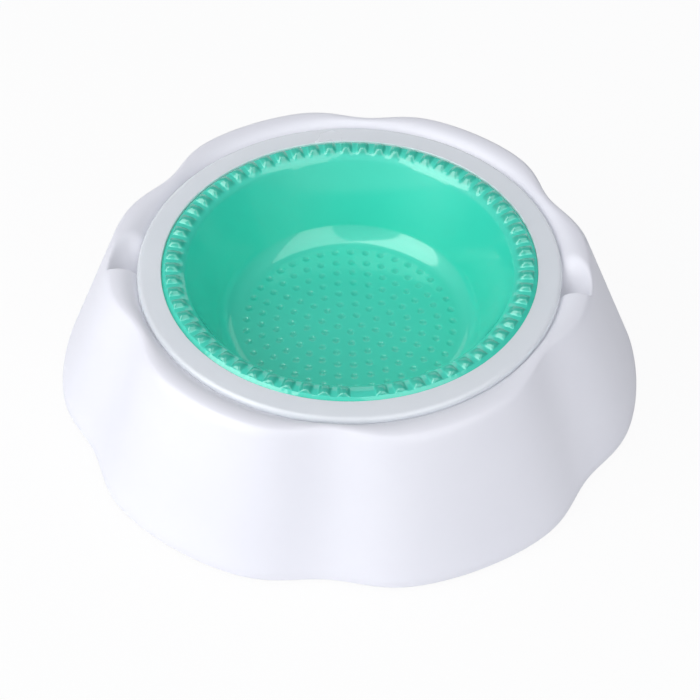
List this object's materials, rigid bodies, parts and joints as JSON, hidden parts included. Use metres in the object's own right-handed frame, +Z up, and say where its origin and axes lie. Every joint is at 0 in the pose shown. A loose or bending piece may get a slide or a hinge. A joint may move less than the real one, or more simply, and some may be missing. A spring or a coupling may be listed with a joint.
{
  "type": "pet cooling bowl",
  "caption": "Round pet bowl with a flared lobed base, finger recesses in its rim, and a sealed gel-filled insert with a beaded rim and a dimpled floor.",
  "frame": {"origin": "on the ground, at the middle of the bowl", "axes": "+Z up; +X through a lobe of the base and the middle of one finger recess, with the other recess on -X; the one empty place in the ring of beads faces -Y, the front, to within 9 degrees"},
  "size_m": [0.25, 0.242, 0.0637],
  "materials": {
    "base": "satin white",
    "foot": "plain rubber",
    "clear_shell": "clear, slightly frosted",
    "gel": "soft gel",
    "plug": "plain moulded",
    "teal": "glossy teal"
  },
  "bodies": {
    "root": {"base": "base", "foot_1": "foot", "foot_2": "foot", "foot_3": "foot", "foot_4": "foot", "foot_5": "foot", "foot_6": "foot", "outer_shell": "clear_shell", "cooling_gel": "gel", "fill_plug": "plug", "cooling_bowl": "teal"}
  },
  "joints": []
}
